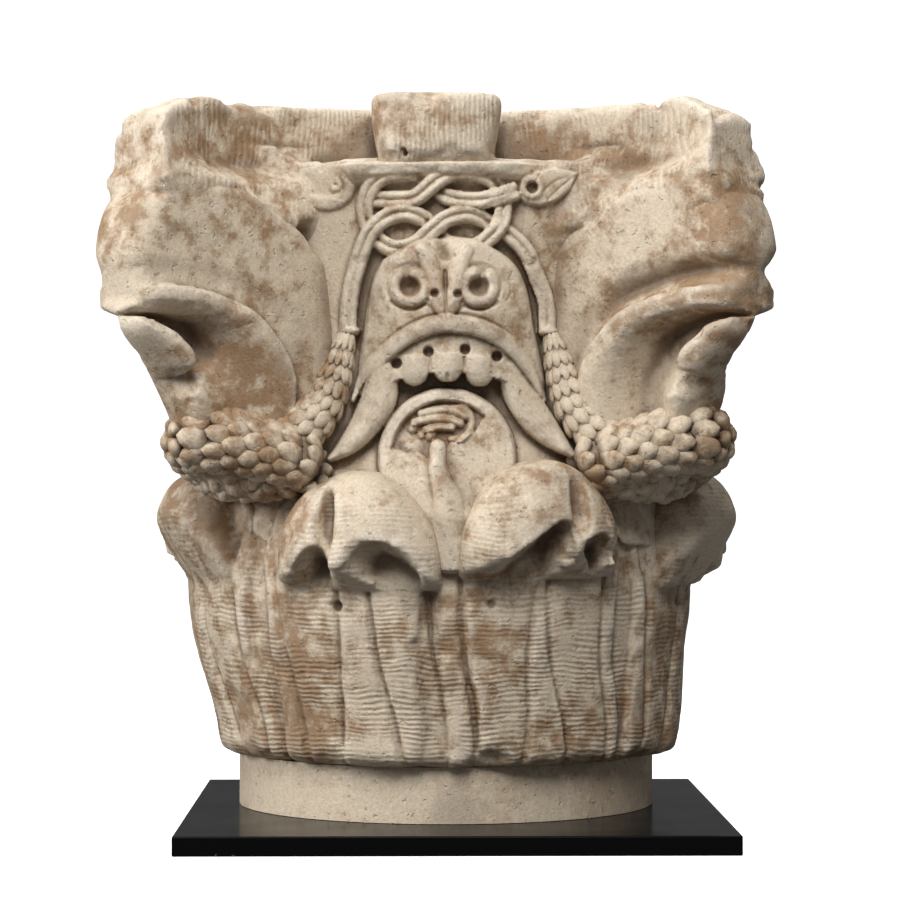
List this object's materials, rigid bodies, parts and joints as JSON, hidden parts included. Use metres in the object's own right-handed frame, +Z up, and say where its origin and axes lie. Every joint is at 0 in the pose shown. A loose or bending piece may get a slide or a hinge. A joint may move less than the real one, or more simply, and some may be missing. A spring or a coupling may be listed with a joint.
{
  "type": "romanesque capital",
  "caption": "Carved marble capital with a beast mask, corner volutes, scaly garlands and broken leaves, on a round stone collar and a square base plate.",
  "frame": {"origin": "on the base plate's underside, on the axis of the collar and the bell", "axes": "+Z up, the carved front with the mask faces -Y"},
  "size_m": [0.4745, 0.4752, 0.532],
  "materials": {
    "marble": "aged tooled marble",
    "collar_stone": "smooth cut stone",
    "black_plate": "polished black"
  },
  "bodies": {
    "root": {"capital": "marble", "collar": "collar_stone", "base_plate": "black_plate"}
  },
  "joints": []
}
